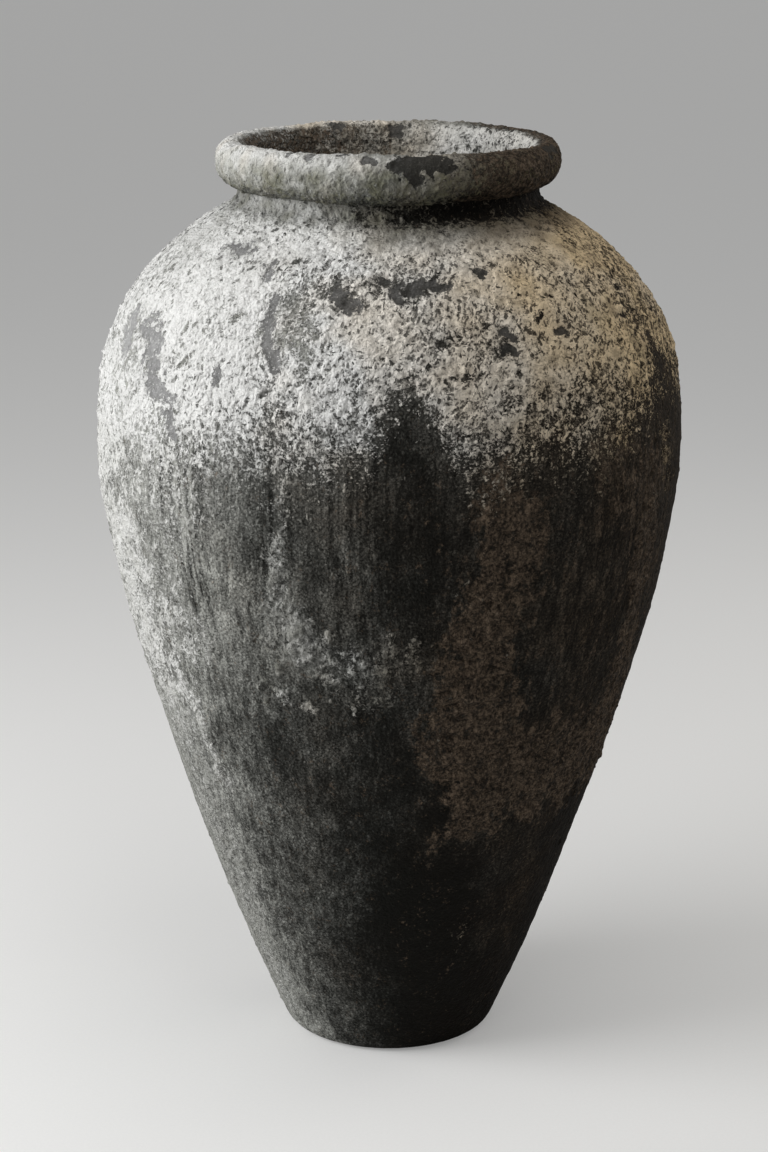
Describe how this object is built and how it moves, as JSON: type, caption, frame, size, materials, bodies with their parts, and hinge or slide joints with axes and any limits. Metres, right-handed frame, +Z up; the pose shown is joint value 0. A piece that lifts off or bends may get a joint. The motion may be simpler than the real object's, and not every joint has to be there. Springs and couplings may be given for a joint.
{
  "type": "weathered pot",
  "caption": "Tall shouldered storage jar of weathered, lime-crusted fired clay, with a small flat foot, a short neck and a rolled rim, open at the mouth.",
  "frame": {"origin": "middle of the underside, on the jar's axis", "axes": "+Z up along the jar's axis; -Y is the side that the picture shows from the front, which matters only to the weathering"},
  "size_m": [0.7574, 0.7574, 1.2],
  "materials": {
    "base_clay": "bare fired clay, rough, soil-stained",
    "dark_clay": "dark algae-stained fired clay with pale lime specks, matt and gritty",
    "speckled_clay": "dark clay with patches of grey crust and streaks, matt",
    "crusted_clay": "broken lime crust over dark clay, rough",
    "limed_clay": "thick pitted lime crust, chalky, with bare grey patches",
    "neck_clay": "greenish grey stained crust, rough",
    "rim_clay": "lime crust flaked down to dark clay, rough"
  },
  "bodies": {
    "root": {"base_slab": "base_clay", "base_corner_coil": "base_clay", "foot_wall": "dark_clay", "lower_flank": "dark_clay", "upper_flank": "speckled_clay", "belly_band": "crusted_clay", "shoulder_wall": "limed_clay", "shoulder_crown": "limed_clay", "neck_ring": "neck_clay", "rim_roll": "rim_clay"}
  },
  "joints": []
}
